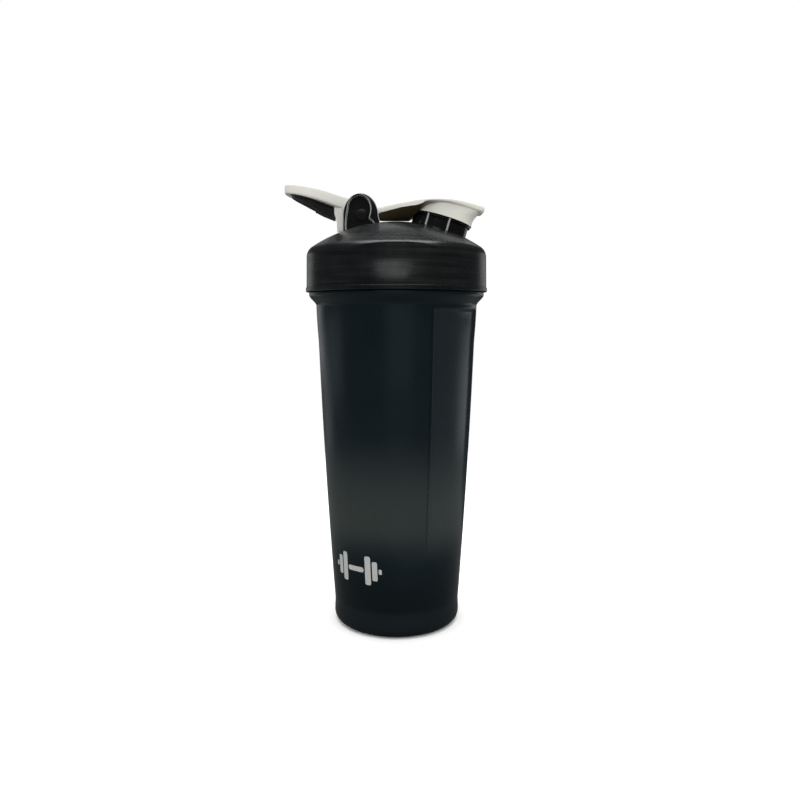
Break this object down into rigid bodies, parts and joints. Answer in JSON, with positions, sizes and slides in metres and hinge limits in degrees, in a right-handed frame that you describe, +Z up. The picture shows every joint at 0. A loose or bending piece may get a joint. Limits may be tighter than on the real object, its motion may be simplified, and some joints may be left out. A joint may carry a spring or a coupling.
{
  "type": "protein shaker bottle",
  "caption": "Tapered shaker bottle with a screw lid, a flip cap over a pouring spout, a carry loop and a loose wire whisk ball inside.",
  "frame": {"origin": "centre of the base, on the table that the bottle stands on", "axes": "+Z up along the cup's axis, +X towards the pouring spout, -Y the front"},
  "size_m": [0.1043, 0.094, 0.2289],
  "materials": {
    "smoke_cup": "satin smoke-black moulded plastic, faintly see-through",
    "black_lid": "satin black moulded plastic, glossier on the ears and spout",
    "off_white": "satin warm off-white moulded plastic",
    "gloss_black": "glossy black plastic",
    "soft_grip": "soft-touch black elastomer",
    "black_silicone": "matt black silicone",
    "stainless_wire": "drawn stainless wire"
  },
  "bodies": {
    "cup_body": {"cup": "smoke_cup"},
    "gasket_body": {"lid_gasket": "black_silicone"},
    "lid_body": {"lid": "black_lid", "hinge_pin": "gloss_black"},
    "cap_body": {"flip_cap": "off_white", "spout_plug": "black_silicone"},
    "loop_body": {"carry_loop": "off_white", "loop_grip": "soft_grip"},
    "whisk_body": {"whisk_ball": "stainless_wire"}
  },
  "joints": [
    {"name": "lid_rise", "type": "slide", "parent": "cup_body", "child": "gasket_body", "axis": [0, 0, 1], "range_m": [0, 0.012]},
    {"name": "lid_turn", "type": "hinge", "parent": "gasket_body", "child": "lid_body", "pos_m": [0, 0, 0.19], "axis": [0, 0, 1], "range_deg": [0, 540]},
    {"name": "flip_cap_open", "type": "hinge", "parent": "lid_body", "child": "cap_body", "pos_m": [-0.0175, 0, 0.213], "axis": [0, -1, 0], "range_deg": [0, 90]},
    {"name": "loop_swing", "type": "hinge", "parent": "lid_body", "child": "loop_body", "pos_m": [-0.0175, 0, 0.213], "axis": [0, 1, 0], "range_deg": [0, 24]},
    {"name": "whisk_slide", "type": "slide", "parent": "cup_body", "child": "whisk_body", "axis": [0, 0, 1], "range_m": [0, 0.12]}
  ],
  "couplings": [
    {"joint": "lid_rise", "follows": "lid_turn", "m_per_rad": 0.0012732}
  ]
}
